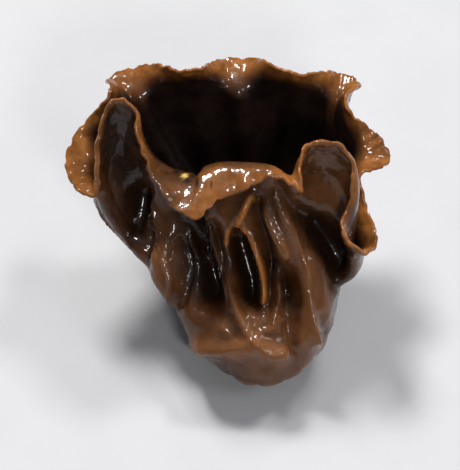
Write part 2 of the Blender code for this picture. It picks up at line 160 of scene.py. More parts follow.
# Lobes of the sides and back: how rounded a lobe is, and the small pleats on it
LOBE_ROUNDNESS = 0.6
LOBE_LEVEL = 0.7
PLEAT_SHARE = 0.3
PLEAT_COUNT = 11.5
PLEAT_SWAY = 1.3
PLEAT_LEAN = 0.3
PLEAT_ROUNDNESS = 0.7
PLEAT_LEVEL = 0.6

# Fine relief of the outer face: heights and sizes in millimetres
WRINKLE_SEED = 11
WRINKLE_HEIGHT = 0.45
WRINKLES_IN_FRONT = 0.12
WRINKLES_ROUND = 7.0
WRINKLE_STRETCH = 0.16
WRINKLE_WARP = 0.35
WARP_SIZE = 9.0
FINER_SHARE = 0.5
FINER_SCALE = 2.1
RIDGE_SHARPNESS = 2.2
ROOT_FOLD_COUNT = 9.5
ROOT_FOLD_HEIGHT = 0.9
ROOT_FOLD_ROUNDNESS = 0.5
ROOT_FOLD_LEVEL = 0.85

# Layers of noise: height and size in millimetres, and seed. A nick's heights are shares of its depth
GRAIN = ((0.10, 2.4, 51), (0.05, 1.1, 52))
RUFFLES = ((0.55, 3.2, 31), (0.3, 1.5, 32))
NICKS = ((1.4, 1.7, 41), (0.5, 0.7, 42))
NICK_DEPTH = 0.6

# How far the margin's tan reaches down, in millimetres: everywhere, then added where the sheet is turned
# over, and on the inner face added again where that is in front. The flare is in degrees
OUTER_TAN = (0.8, 0.6)
INNER_TAN = (2.0, 3.0, 4.5)
TURNED_FLARE = (20.0, 80.0)

# Waves round the root: strength, count and turn. Those of the cut's outline are shares of its radius, and
# just above the cut the flesh is so many millimetres wider
ROOT_FOLD_WAVES = ((0.9, 2.0, 0.6), (0.6, 5.0, 0.0))
CUT_WAVES = ((0.05, 3.0, 0.5), (0.04, 7.0, 0.0), (0.02, 17.0, 1.0))
CUT_SPLAY = 0.2

# The front of the margin from left to right: across and up in the front view, height above the
# cut, the bearing of its root in degrees, how far it flares outward in degrees, and lip width
FRONT_MARGIN = (
    (-27.4, 25.7, 37.0, -66, 15, 3),
    (-27.2, 32.6, 45.0, -60, 8, 3.5),
    (-26.4, 39.0, 51.0, -55, 5, 4),
    (-24.6, 43.4, 54.5, -51, 5, 5),
    (-21.8, 44.0, 55.0, -47, 8, 5),
    (-19.5, 41.2, 53.0, -43, 12, 4),
    (-19.3, 36.4, 50.5, -39, 18, 4),
    (-17.0, 30.6, 47.5, -34.5, 40, 5),
    (-14.6, 25.2, 46.0, -30, 85, 10.5),
    (-12.0, 22.2, 44.8, -25, 96, 13.5),
    (-7.2, 19.5, 44.2, -18.5, 108, 14),
    (-4.8, 22.6, 45.0, -15, 108, 13),
    (-2.2, 24.6, 46.0, -10, 104, 10),
    (1.9, 25.4, 47.0, -4, 98, 8),
    (4.7, 27.9, 48.5, 1, 88, 5),
    (8.1, 28.2, 49.5, 7, 80, 4),
    (11.5, 26.4, 48.5, 12.5, 75, 4),
    (13.3, 24.8, 47.5, 16.5, 55, 4),
    (12.5, 28.8, 49.5, 20, 30, 4),
    (13.0, 33.4, 51.5, 24, 22, 4),
    (16.1, 35.6, 52.8, 29, 12, 4),
    (20.0, 35.0, 52.0, 35, 15, 3.5),
    (22.9, 31.4, 48.8, 41, 28, 3.5),
    (23.2, 26.0, 44.5, 46, 30, 3),
    (22.0, 21.8, 39.6, 50, 15, 2.5),
    (20.7, 19.2, 38.0, 56, 5, 2.5),
    (21.6, 16.3, 38.0, 62, 20, 2.5),
    (23.8, 14.2, 36.2, 66.5, 30, 3),
    (26.0, 13.0, 33.8, 70.5, 45, 3),
)

# The rest of the margin, on round the back to the left side: x, y and height, then as above
BACK_MARGIN = (
    (28.6, -4.8, 31.6, 75.5, 50, 3.5),
    (27.4, 0.8, 31.5, 81, 35, 4),
    (25.0, 4.5, 35.0, 86, 10, 4),
    (25.2, 7.6, 38.0, 91.5, 25, 5),
    (28.0, 9.5, 37.5, 98, 65, 8),
    (31.5, 12.5, 35.0, 105, 95, 9),
    (30.5, 16.5, 36.5, 112, 80, 8),
    (26.0, 18.0, 41.0, 118, 30, 6),
    (22.5, 18.5, 44.5, 124, -5, 6),
    (22.0, 21.5, 46.0, 130, 0, 6),
    (25.0, 24.5, 44.5, 136, 45, 7),
    (25.5, 28.5, 41.5, 143, 85, 8),
    (20.5, 30.0, 43.0, 149, 70, 8),
    (16.5, 26.5, 47.0, 155, 15, 6),
    (12.5, 23.5, 49.5, 161, -20, 6),
    (8.5, 24.5, 50.5, 167, -10, 6),
    (6.0, 28.0, 49.0, 173, 30, 7),
    (2.5, 31.5, 45.5, 180, 75, 9),
    (-3.0, 31.0, 45.0, 187, 80, 9),
    (-5.5, 27.0, 49.0, 193, 25, 6),
    (-7.0, 23.0, 51.5, 199, -25, 6),
    (-10.5, 22.5, 51.5, 203, -20, 6),
    (-14.0, 25.5, 50.0, 208, 5, 6),
    (-18.0, 29.5, 46.0, 215, 60, 8),
    (-23.5, 29.5, 43.5, 222, 90, 9),
    (-26.5, 25.5, 45.0, 229, 65, 8),
    (-24.5, 22.0, 48.5, 236, 20, 6),
    (-25.0, 18.5, 48.5, 243, 0, 6),
    (-28.5, 17.0, 45.0, 250, 20, 6),
    (-32.5, 14.5, 41.0, 258, 60, 8),
    (-34.5, 10.0, 37.5, 266, 85, 8),
    (-32.0, 5.5, 35.5, 274, 65, 6),
    (-29.0, 3.5, 35.5, 282, 30, 4),
)

# The folds of the front wall, as lines in the front view: rise in millimetres (below zero is a hollow),
# half width, then the points that the line follows. Hollows and swells are broad, ridges are narrow
WALL_HOLLOWS = (
    (-2.4, 1.7, ((8.7, 25.1), (10.8, 22.6), (13.6, 20.8))),
    (-6.8, 3.1, ((-9.0, 21.4), (-7.8, 15.8), (-6.5, 10.2), (-5.0, 5.0))),
    (-2.2, 1.3, ((-4.0, 18.3), (-3.1, 13.3), (-2.2, 9.0))),
    (-6.0, 2.6, ((0.6, 15.8), (1.6, 12.1), (2.8, 8.4), (3.4, 5.3))),
    (-3.6, 1.3, ((4.3, 23.2), (5.0, 19.5), (6.2, 15.8), (7.1, 11.5), (7.4, 7.1))),
    (-3.2, 1.4, ((9.0, 10.8), (10.5, 7.8), (11.2, 4.0))),
    (-5.0, 2.3, ((-19.5, 24.5), (-19.5, 20.8), (-20.1, 17.7))),
    (-4.0, 2.6, ((16.7, 18.3), (19.2, 14.6), (21.7, 9.6))),
    (-2.4, 0.9, ((-16.4, 17.1), (-17.1, 12.1), (-17.7, 7.1), (-18.0, 2.8))),
    (-2.2, 1.1, ((-11.5, 14.6), (-10.2, 9.0), (-10.8, 3.4))),
    (-2.2, 1.1, ((3.1, 3.1), (5.0, 2.2), (6.8, 3.1))),
    (-1.6, 1.2, ((9.9, 2.2), (10.8, -1.6), (11.2, -5.9))),
    (-1.8, 0.9, ((-24.2, 13.6), (-21.7, 12.1), (-18.6, 11.5))),
    (-1.0, 1.3, ((15.8, 0.9), (16.4, -2.2))),
    (-0.5, 1.6, ((-3.1, -6.5), (-0.9, -8.4), (0.9, -9.6))),
)

WALL_SWELLS = (
    (1.5, 2.4, ((-14.9, 12.1), (-14.9, 8.4), (-14.6, 5.0))),
    (1.2, 1.8, ((-21.7, 10.2), (-20.1, 7.1))),
    (2.2, 2.7, ((14.6, 11.5), (16.1, 6.5), (15.5, 0.9), (13.9, -3.4))),
    (1.5, 2.3, ((-4.3, -5.0), (-0.6, -5.9), (4.3, -5.6), (8.1, -6.2))),
    (1.2, 2.4, ((-6.8, 0.9), (-3.1, -0.9))),
)

WALL_RIDGES = (
    (0.5, 1.0, ((12.4, -3.1), (11.5, -5.6), (9.3, -8.1), (6.5, -10.2))),
    (1.3, 0.8, ((-17.7, 20.1), (-18.9, 17.4), (-20.5, 15.2), (-23.2, 13.3))),
    (1.3, 0.6, ((-16.1, 23.2), (-15.2, 19.8), (-15.5, 16.4), (-16.1, 12.1))),
    (0.9, 0.7, ((-13.0, 16.4), (-14.3, 14.6), (-15.5, 12.7))),
    (1.1, 0.6, ((-12.4, 17.1), (-13.3, 13.3), (-12.4, 9.6), (-11.8, 5.6), (-12.7, 0.9))),
    (2.0, 0.7, ((-11.2, 21.1), (-9.3, 18.3), (-7.8, 15.8), (-6.5, 17.7), (-5.9, 20.5))),
    (1.7, 0.6, ((-10.2, 15.8), (-9.0, 13.0), (-7.4, 10.8), (-5.9, 12.7), (-5.3, 16.1))),
    (2.2, 0.7, ((-5.0, 17.1), (-4.0, 13.3), (-2.8, 9.0), (-1.9, 4.7))),
    (2.4, 0.9, ((-2.2, 9.6), (-0.9, 5.3), (0.6, 1.9), (2.5, -1.9), (4.7, -4.3))),
    (2.2, 1.3, ((5.6, 22.0), (7.4, 18.6), (9.0, 15.5), (9.6, 12.7))),
    (2.6, 0.8, (
        (8.1, 25.1), (9.9, 20.8), (10.8, 17.4), (11.8, 13.6),
        (12.4, 9.6), (13.3, 5.3), (13.6, 1.2), (13.9, -3.1),
    )),
    (1.4, 0.8, ((7.8, 8.4), (8.7, 4.7), (7.4, 0.9))),
    (1.3, 0.9, ((3.1, 1.2), (4.7, -0.9), (7.1, -1.2), (9.6, 0.3))),
    (1.3, 0.9, ((13.3, 13.6), (15.8, 13.3), (18.0, 10.2), (20.1, 5.9), (20.8, 2.5))),
    (1.0, 0.7, ((13.0, 17.7), (14.9, 15.2), (17.1, 15.2))),
    (1.5, 1.0, ((-9.6, -3.1), (-6.2, -4.7), (-2.5, -5.3))),
    (1.6, 1.0, ((-2.2, -5.3), (1.2, -4.3), (4.3, -4.7), (6.8, -6.2), (9.9, -5.9))),
    (0.7, 0.6, ((-6.2, 2.8), (-3.1, 0.3), (0.0, -3.4))),
    (0.7, 0.6, ((-22.6, 9.0), (-21.1, 7.8), (-18.9, 8.7))),
)

# Thin translucent fins that stand on the wall, as the ridges above. Their amber colour is a painted glow of
# light shining through them
WALL_FINS = (
    (2.9, 0.9, (
        (3.4, 24.8), (1.6, 21.4), (0.6, 19.2), (2.2, 17.4),
        (3.7, 14.6), (5.0, 10.8), (5.6, 7.1), (5.6, 3.4),
    )),
    (2.2, 0.8, ((0.6, 19.2), (-1.2, 18.0), (-1.9, 14.6))),
)

# Painted shade on the outer face in front, dark bands where the wall lies in shadow: share, half width,
# then the points of a line in the front view
WALL_PAINTED_SHADE = (
    (0.85, 4.2, ((-23.6, 38.8), (-22.0, 31.3), (-20.1, 24.5), (-19.8, 18.3))),
    (0.8, 4.4, ((-9.6, 20.8), (-7.8, 14.6), (-6.5, 7.8))),
    (0.6, 2.8, ((0.9, 15.8), (1.9, 11.5), (3.1, 6.5))),
    (0.8, 3.8, ((14.3, 20.1), (18.0, 15.8), (21.4, 9.6))),
    (0.45, 3.0, ((4.3, 24.5), (8.1, 23.2), (11.2, 21.4))),
    (0.45, 1.8, ((6.8, 10.8), (9.9, 7.8), (10.8, 4.0))),
)

# Painted shade on the lip's inner face, dark bands where the lip lies in shadow, as above
LIP_PAINTED_SHADE = (
    (0.7, 1.7, ((-15.2, 28.5), (-11.8, 28.2), (-9.0, 27.9))),
    (0.6, 1.9, ((-17.4, 31.6), (-15.2, 27.3), (-13.0, 24.2))),
    (0.45, 1.1, ((-6.8, 30.4), (-0.3, 31.3), (6.2, 30.1))),
)

# Specks on the lip, in the front view: across, up and radius in millimetres
DARK_SPECKS = (
    (-9.3, 27.6, 0.45),
    (-8.4, 28.5, 0.3),
    (-7.4, 27.0, 0.4),
    (-8.7, 26.4, 0.3),
    (-11.5, 29.4, 0.5),
    (-4.7, 26.7, 0.3),
    (-6.2, 27.9, 0.25),
)
PALE_CRUMB = (-9.9, 28.5, 0.55)
SPOT_EDGE = (0.6, 1.3)

# The dense mesh: columns round the cup, rings up each face, how much of the sheet a face spans below the
# margin in ring numbers, how the inner rings crowd toward the margin, and how round the edge is
COLUMNS = 620
OUTER_RINGS = 108
INNER_RINGS = 42
EDGE_RINGS = 5
OUTER_SPAN = 8.0
INNER_SPAN = 8.5
INNER_CROWDING = 1.1
EDGE_BULGE = 0.8

# Patterns of the flesh: scale and detail, and for some also roughness and distortion
MOTTLE = (260.0, 4.0)
BLOTCHES = (70.0, 2.0)
STREAK_SCALES = (500.0, 500.0, 90.0)
DULLNESS = (350.0, 3.0)
RIPPLE = (900.0, 2.0, 0.5, 0.3)
STREAKS_IN_RIPPLE = 1.5
FILM_WAVES = (330.0, 1.5, 0.45, 0.8)

# Strength of a bump and its height in metres, for the flesh and for the film of water on it
RIPPLE_BUMP = (0.3, 0.0003)
FILM_BUMP = (0.6, 0.0004)

# How the flesh takes light: least and most roughness, the light that travels inside, and the film's gloss
ROUGHNESS = (0.25, 0.45)
FLESH_SHADER = {
    "Subsurface Weight": 0.25,
    "Subsurface Radius": (1.0, 0.42, 0.16),
    "Subsurface Scale": 0.0014,
    "Specular IOR Level": 0.08,
    "Coat Roughness": 0.04,
    "Coat IOR": 1.33,
}

# Paper floor: grain, how much darker its low spots are, roughness, and half its width in metres
PAPER_GRAIN = (60.0, 3.0)
PAPER_SHADE = 0.97
PAPER_ROUGHNESS = 0.6
FLOOR_REACH = 1.5

# Room light: how high up it changes, its strength below and above, and its colour
ROOM_HEIGHTS = (0.1, 0.9)
ROOM_STRENGTHS = (0.08, 0.26)
ROOM_COLOUR = (0.92, 0.94, 1.0, 1.0)

# Soft boxes: place and size in metres, power in watts, and tint. All look at one point
LIGHTS = {
    "key_light": ((-0.16, 0.27, 0.64), 0.145, 5.4, (1.0, 0.985, 0.96)),
    "back_light": ((0.24, 0.20, 0.58), 0.09, 1.8, (1.0, 0.99, 0.97)),
    "side_light": ((0.45, -0.20, 0.45), 0.20, 0.8, (0.9, 0.94, 1.0)),
    "front_light": ((0.12, -0.50, 0.46), 0.09, 1.5, (1.0, 0.99, 0.97)),
}
LIGHT_TARGET = (0.0, 0.006, 0.022)
CAMERA_TARGET = (-0.002, 0.004, 0.021)
SENSOR_WIDTH = 36.0


def smooth_step(value, low, high):
    """Rises smoothly from 0 at low to 1 at high."""
    part = np.clip((value - low) / (high - low), 0.0, 1.0)
    return part * part * (3.0 - 2.0 * part)


def curve_through(before, start, end, after, part):
    """The smooth curve through four points in a row, at part of the way from start to end."""
    return 0.5 * (
        2.0 * start
        + (end - before) * part
        + (2.0 * before - 5.0 * start + 4.0 * end - after) * part**2
        + (3.0 * start - before - 3.0 * end + after) * part**3
    )


def round_curve(points, count):
    """A smooth closed curve through the points, read at count even steps."""
    total = len(points)
    place = np.arange(count) * total / count
    first = np.floor(place).astype(int)
    four = [points[(first + step) % total] for step in (-1, 0, 1, 2)]
    shape = (count,) + (1,) * (points.ndim - 1)
    return curve_through(*four, (place - first).reshape(shape))


def smooth_through(rows, places):
    """Smooth curves through a stack of rows, read at the row numbers in places."""
    stack = np.concatenate([2.0 * rows[:1] - rows[1:2], rows, 2.0 * rows[-1:] - rows[-2:-1]])
    first = np.clip(np.floor(places).astype(int), 0, len(rows) - 2)
    four = [stack[first + step] for step in (0, 1, 2, 3)]
    return curve_through(*four, (places - first).reshape((-1,) + (1,) * (rows.ndim - 1)))


def unit(vectors):
    """The vectors at length 1."""
    return vectors / np.linalg.norm(vectors, axis=-1)[..., None]


def blur_round(values, width):
    """Blurs values round a closed ring with a bell curve of the given width in samples."""
    rate = np.fft.rfftfreq(len(values))
    keep = np.exp(-2.0 * (np.pi * rate * width) ** 2)
    keep = keep.reshape((-1,) + (1,) * (values.ndim - 1))
    return np.fft.irfft(np.fft.rfft(values, axis=0) * keep, len(values), axis=0)


def placed_front_rows():
    """Turns the front view's across, up and height into x, y and height."""
    sine = math.sin(FRONT_VIEW_RISE)
    cosine = math.cos(FRONT_VIEW_RISE)
    return [
        (across, (up - cosine * height) / sine, height, root, flare, lip)
        for across, up, height, root, flare, lip in FRONT_MARGIN
    ]


def margin_lines(columns):
    """Margin points, root bearings, flares and lip widths at columns round the cup."""
    rows = np.array(placed_front_rows() + list(BACK_MARGIN), dtype=float)
    total = len(rows)
    rows[:, 3] = np.unwrap(np.radians(rows[:, 3]))
    rows[:, 3] -= np.arange(total) * 2.0 * np.pi / total
    fine = blur_round(round_curve(rows, FINE_STEPS), ROW_BLUR * FINE_STEPS / total)
    fine[:, 3] += np.arange(FINE_STEPS) * 2.0 * np.pi / FINE_STEPS
    closing = fine[:1].copy()
    closing[0, 3] += 2.0 * np.pi
    fine = np.concatenate([fine, closing])
    along = np.linalg.norm(np.diff(fine[:, :3], axis=0), axis=1)
    turned = np.abs(np.diff(fine[:, 3]))
    travelled = np.concatenate([[0.0], np.cumsum(along + ROOT_SHARE * turned)])
    wanted = np.arange(columns) / columns * travelled[-1]
    read = np.stack([np.interp(wanted, travelled, fine[:, k]) for k in range(6)], axis=1)
    return read[:, :3], read[:, 3], np.radians(read[:, 4]), read[:, 5]


def lowest_nearby(values, reach):
    """The lowest value within reach samples to either side, round a ring."""
    lowest = values.copy()
    for step in range(1, reach + 1):
        lowest = np.minimum(lowest, np.minimum(np.roll(values, step), np.roll(values, -step)))
    return lowest


def level_ring(bearing, centre_x, radius, height):
    """A ring round the root's axis, with its own radius and height in each column."""
    flat = np.array((centre_x, CUT_CENTRE[1])) + bearing * radius[:, None]
    return np.concatenate([flat, height[:, None]], axis=1)


def ring_stack(columns):
    """The ten rings that shape the sheet, from the root (0) to the margin (9)."""
    margin, root, flare, lip = margin_lines(columns)
    bearing = np.stack([np.sin(root), -np.cos(root)], axis=1)
    along = np.roll(margin, -1, axis=0) - np.roll(margin, 1, axis=0)
    outward = unit(np.stack([along[:, 1], -along[:, 0]], axis=1))
    mixed = OUTWARD_MIX[0] * outward + OUTWARD_MIX[1] * bearing
    outward = unit(blur_round(mixed, OUTWARD_BLUR * columns))

    def leaning(angle):
        return np.concatenate([outward * np.sin(angle)[:, None], np.cos(angle)[:, None]], axis=1)

    side_share = np.sin(root) ** 2
    front_share = np.where(np.cos(root) > 0.0, np.cos(root) ** 2, 0.0)
    back_share = 1.0 - side_share - front_share
    lower = []
    for centre_x, side, front, back, side_height, front_height, back_height in LOWER_RINGS:
        reach = 1.0 / np.sqrt(side_share / side**2 + front_share / front**2 + back_share / back**2)
        height = side_share * side_height + front_share * front_height + back_share * back_height
        lower.append(level_ring(bearing, centre_x, reach, height))
    lip_reach = (CREST_SHARE * lip)[:, None]
    crest = blur_round(margin - leaning(flare) * lip_reach, CREST_BLUR * columns)
    lean_below = leaning(LEAN_SHARE * blur_round(flare, LEAN_BLUR * columns))
    under = crest - lean_below * np.minimum(lip_reach, MOST_INSET)
    low_line = lowest_nearby(crest[:, 2], int(LOW_LINE_REACH * columns))
    neck = blur_round(under, NECK_BLUR * columns)
    neck[:, 2] = blur_round(low_line, LOW_LINE_BLUR * columns) - NECK_DROP
    shoulder = blur_round(SHOULDER_MIX[0] * under + SHOULDER_MIX[1] * neck, SHOULDER_BLUR * columns)
    height = SHOULDER_HEIGHT_MIX[0] * crest[:, 2] + SHOULDER_HEIGHT_MIX[1] * neck[:, 2]
    shoulder[:, 2] = blur_round(height, SHOULDER_BLUR * columns)
    front = smooth_step(np.cos(root), *FRONT_FACING)
    outwards = (MIDDLE_SWELL - MIDDLE_DRAWN_IN * front)[:, None] * bearing
    hollow = np.concatenate([outwards, (-MIDDLE_LOWERED * front)[:, None]], axis=1)
    middle = blur_round(0.5 * lower[-1] + 0.5 * neck + hollow, MIDDLE_BLUR * columns)
    rings = [*lower, middle, neck, shoulder, crest, margin]
    return np.stack(rings), root, bearing


def front_view_of(points):
    """Across and up in the front view, for points in millimetres."""
    up = math.sin(FRONT_VIEW_RISE) * points[..., 1] + math.cos(FRONT_VIEW_RISE) * points[..., 2]
    return np.stack([points[..., 0], up], axis=-1)


def line_gap(seen, line):
    """Distance in the front view from each point to the smooth line through the given points."""
    knots = np.array(line)
    smooth = smooth_through(knots, np.linspace(0.0, len(knots) - 1, LINE_STEPS * (len(knots) - 1) + 1))
    nearest = np.full(seen.shape[:-1], np.inf)
    for start, run in zip(smooth[:-1], np.diff(smooth, axis=0)):
        part = np.clip((seen - start) @ run / (run @ run), 0.0, 1.0)
        nearest = np.minimum(nearest, np.linalg.norm(seen - start - part[..., None] * run, axis=-1))
    return nearest


def along_line(seen, row, power):
    """A row's strength times exp(-(gap / half width) to the power), for the gap to the row's line."""
    strength, half_width, line = row
    return strength * np.exp(-((line_gap(seen, line) / half_width) ** power))


def highest(seen, rows, power):
    """The highest of the rows at points of the front view, and 0 where none reaches."""
    return np.max([np.zeros(seen.shape[:-1]), *(along_line(seen, row, power) for row in rows)], axis=0)


def side_pleats(root, places):
    """Lobes of the sides and back: rounded between one crease and the next, deepest half way up."""
    creases = np.radians(CREASES)
    turn = np.mod(root - creases[0], 2.0 * np.pi) + creases[0]
    ends = np.append(creases, creases[0] + 2.0 * np.pi)
    which = np.clip(np.searchsorted(ends, turn, side="right") - 1, 0, len(ends) - 2)
    width = ends[which + 1] - ends[which]
    part = np.clip((turn - ends[which]) / width, 0.0, 1.0)
    rounded = np.sin(np.pi * part) ** LOBE_ROUNDNESS
    wave = PLEAT_COUNT * root + PLEAT_SWAY * np.sin(3.0 * root) - PLEAT_LEAN * places[:, None]
    small = np.abs(np.sin(wave)) ** PLEAT_ROUNDNESS
    depth = np.interp(places, CREASE_RINGS, CREASE_DEPTHS)[:, None]
    return depth * (rounded[None, :] - LOBE_LEVEL + PLEAT_SHARE * (small - PLEAT_LEVEL))


def soften(sheet, rounds):
    """Evens out the sheet's grid a little, and leaves the margin where it is."""
    for _ in range(rounds):
        softer = sheet.copy()
        softer[1:-1] = 0.5 * sheet[1:-1] + 0.25 * (sheet[2:] + sheet[:-2])
        beside = np.roll(softer, 1, axis=1) + np.roll(softer, -1, axis=1)
        softer[:-1] = 0.5 * softer[:-1] + 0.25 * beside[:-1]
        sheet = softer
    return sheet


def sheet_normals(sheet):
    """Outward unit normals of the sheet's grid."""
    across = np.roll(sheet, -1, axis=1) - np.roll(sheet, 1, axis=1)
    upward = np.gradient(sheet, axis=0)
    normals = np.cross(across, upward)
    normals /= np.linalg.norm(normals, axis=2)[..., None] + 1e-12
    return unit(soften(normals, 1))


def half_thickness(places):
    """Half the sheet's thickness at the ring numbers in places."""
    return 0.5 * np.interp(places, THICKNESS_RINGS, THICKNESS)[:, None, None]


def grid_cells(rings, columns):
    """The four corners of each cell between neighbouring rings of a closed grid."""
    ring, column = np.meshgrid(np.arange(rings - 1), np.arange(columns), indexing="ij")
    beside = (column + 1) % columns
    below = ring * columns
    above = below + columns
    corners = [below + column, below + beside, above + beside, above + column]
    return np.stack(corners, axis=-1).reshape(-1, 4)


def grid_triangles(rings, columns):
    """Two triangles for each cell between neighbouring rings of a closed grid."""
    cells = grid_cells(rings, columns)
    return np.concatenate([cells[:, [0, 1, 2]], cells[:, [0, 2, 3]]])


def touching_cells(sheet, places):
    """Marks the grid points where the thickened sheet runs into itself, and counts the faults."""
    normals = sheet_normals(sheet)
    half = SPARE_GAP * half_thickness(places)
    start = int(np.searchsorted(places, EASE_FROM_RING))
    outer = (sheet + normals * half)[start:]
    inner = (sheet - normals * half)[start:]
    rings, columns = outer.shape[:2]
    points = np.concatenate([outer.reshape(-1, 3), inner.reshape(-1, 3)])
    one_face = grid_triangles(rings, columns)
    triangles = np.concatenate([one_face, one_face + rings * columns])
    tree = BVHTree.FromPolygons(points.tolist(), triangles.tolist(), all_triangles=True)
    pairs = np.array(tree.overlap(tree), dtype=int).reshape(-1, 2)
    pairs = pairs[pairs[:, 0] < pairs[:, 1]]
    one = triangles[pairs[:, 0]]
    other = triangles[pairs[:, 1]]
    neighbours = (one[:, :, None] == other[:, None, :]).any(axis=(1, 2))
    hit = np.zeros(len(points))
    hit[np.concatenate([one[~neighbours], other[~neighbours]]).ravel()] = 1.0
    sides = hit.reshape(2, rings, columns)
    marks = np.zeros(sheet.shape[:2])
    marks[start:] = sides.max(axis=0)
    return marks, int((~neighbours).sum())


def ease_folds(sheet, places):
    """Relaxes the sheet where its folds run into each other, until none do."""
    hold_margin = 1.0 - MARGIN_HOLD * smooth_step(places, *MARGIN_RINGS)[:, None]
    for _ in range(EASE_ROUNDS):
        marks, faults = touching_cells(sheet, places)
        if faults == 0:
            break
        for _ in range(SPREADS_PER_ROUND):
            beside = np.maximum(np.roll(marks, 1, 1), np.roll(marks, -1, 1))
            marks = np.maximum(marks, SPREAD_SHARE * beside)
            spread = marks.copy()
            spread[1:-1] = np.maximum(marks[1:-1], SPREAD_SHARE * np.maximum(marks[2:], marks[:-2]))
            marks = spread
        for _ in range(PULLS_PER_ROUND):
            pull = 0.25 * (np.roll(sheet, 1, axis=1) + np.roll(sheet, -1, axis=1) - 2.0 * sheet)
            pull[1:-1] += 0.25 * (sheet[2:] + sheet[:-2] - 2.0 * sheet[1:-1])
            sheet = sheet + PULL_SHARE * (marks * hold_margin)[..., None] * pull
    return sheet


def sheet_grid():
    """The middle of the sheet on the base grid, in millimetres."""
    rings, root, bearing = ring_stack(BASE_COLUMNS)
    last = len(rings) - 1
    places = np.linspace(0.0, last, last * RINGS_PER_STEP + 1)
    sheet = smooth_through(rings, places)
    behind = 1.0 - smooth_step(np.cos(root), *BACK_FACING)
    around = np.concatenate([bearing, np.zeros((BASE_COLUMNS, 1))], axis=1)
    sideways = side_pleats(root, places) * behind[None, :]
    sheet = sheet + sideways[..., None] * around
    return ease_folds(soften(sheet, SHEET_ROUNDS), places)


def read_sheet(sheet, columns, places):
    """Reads the base grid at other columns and ring numbers."""
    across = np.swapaxes(round_curve(np.swapaxes(sheet, 0, 1), columns), 0, 1)
    return smooth_through(across, np.asarray(places) * RINGS_PER_STEP)


def lift_directions(sheet):
    """The way the wall's folds rise from the base grid: its normals, evened out."""
    return unit(soften(sheet_normals(sheet), LIFT_ROUNDS))


def noise(points, seed):
    """Smooth noise from about -1 to 1: random slopes at the corners of whole cells, eased together."""
    random = np.random.default_rng(seed)
    slopes = random.normal(size=(256, 3))
    order = random.permutation(256)
    cell = np.floor(points).astype(int)
    part = points - cell
    ease = part**3 * (part * (part * 6.0 - 15.0) + 10.0)
    total = np.zeros(points.shape[:-1])
    for corner in itertools.product((0, 1), repeat=3):
        at = (cell + corner) & 255
        pick = order[(order[(order[at[..., 0]] + at[..., 1]) & 255] + at[..., 2]) & 255]
        weight = np.where(np.array(corner) == 1, ease, 1.0 - ease).prod(axis=-1)
        total += weight * ((part - corner) * slopes[pick]).sum(axis=-1)
    return total


def ridged(points, seed):
    """Sharp-crested noise from 0 to 1: the folded value of smooth noise, high along thin lines."""
    return np.clip(1.0 - RIDGE_SHARPNESS * np.abs(noise(points, seed)), 0.0, 1.0) ** 2


def layered(points, layers):
    """Layers of smooth noise added up, each with its own height, size and seed."""
    return sum(height * noise(points / size, seed) for height, size, seed in layers)


def waves(root, rows, start):
    """Start, plus waves round the cup."""
    return sum((strength * np.sin(count * root + turn) for strength, count, turn in rows), start)


def wrinkles(points, root, places):
    """Fine folds that run from the root to the margin: ridged noise stretched up the sheet."""
    turned = root + WRINKLE_WARP * noise(points / WARP_SIZE, WRINKLE_SEED)
    upward = WRINKLE_STRETCH * places[:, None] + np.zeros(turned.shape)
    place = np.stack([WRINKLES_ROUND * np.cos(turned), WRINKLES_ROUND * np.sin(turned), upward], axis=-1)
    return ridged(place, WRINKLE_SEED + 1) + FINER_SHARE * ridged(FINER_SCALE * place, WRINKLE_SEED + 2)


def root_folds(root, places):
    """Folds that fan out from the root: rounded between narrow creases, and gone higher up."""
    turn = waves(root, ROOT_FOLD_WAVES, ROOT_FOLD_COUNT * root)
    rounded = np.abs(np.sin(turn)) ** ROOT_FOLD_ROUNDNESS
    share = smooth_step(places, *ROOT_FOLDS_START) * (1.0 - smooth_step(places, *ROOT_FOLDS_END))
    return ROOT_FOLD_HEIGHT * share[:, None] * (rounded - ROOT_FOLD_LEVEL)


def fine_relief(middle, root, places):
    """Wrinkles, grain and root folds of the outer face, in millimetres along the normal."""
    away = 1.0 - smooth_step(np.cos(root), *BACK_FACING)[None, :]
    fine = WRINKLE_HEIGHT * wrinkles(middle, root, places)
    fine = fine * (WRINKLES_IN_FRONT + (1.0 - WRINKLES_IN_FRONT) * away)
    fine = fine * smooth_step(places, *WRINKLES_START)[:, None]
    fine *= (1.0 - smooth_step(places, *WRINKLES_END))[:, None]
    return fine + layered(middle, GRAIN) + root_folds(root, places)


def nicks(base, places):
    """How far the margin is eaten back at each grid point, in millimetres."""
    line = read_sheet(base, COLUMNS, [MARGIN_RING])[0]
    depth = NICK_DEPTH * np.clip(layered(line, NICKS), 0.0, 1.0)
    return depth[None, :] * smooth_step(places, *NICK_RINGS)[:, None]


def tan_reach(side, root, flare):
    """How far the tan of the margin reaches down each column of a face, in millimetres."""
    turned = smooth_step(flare, *np.radians(TURNED_FLARE))
    if side > 0.0:
        return OUTER_TAN[0] + OUTER_TAN[1] * turned
    front = smooth_step(np.cos(root), *TAN_FACING)
    return INNER_TAN[0] + INNER_TAN[1] * turned + INNER_TAN[2] * turned * front


def distance_from_edge(middle, upward):
    """How far each grid point lies from the margin along its column, in millimetres."""
    steps = np.linalg.norm(np.diff(middle, axis=0), axis=2)
    steps = steps[::-1] if upward else steps
    gone = np.concatenate([np.zeros((1, COLUMNS)), np.cumsum(steps, axis=0)])
    return gone[::-1] if upward else gone


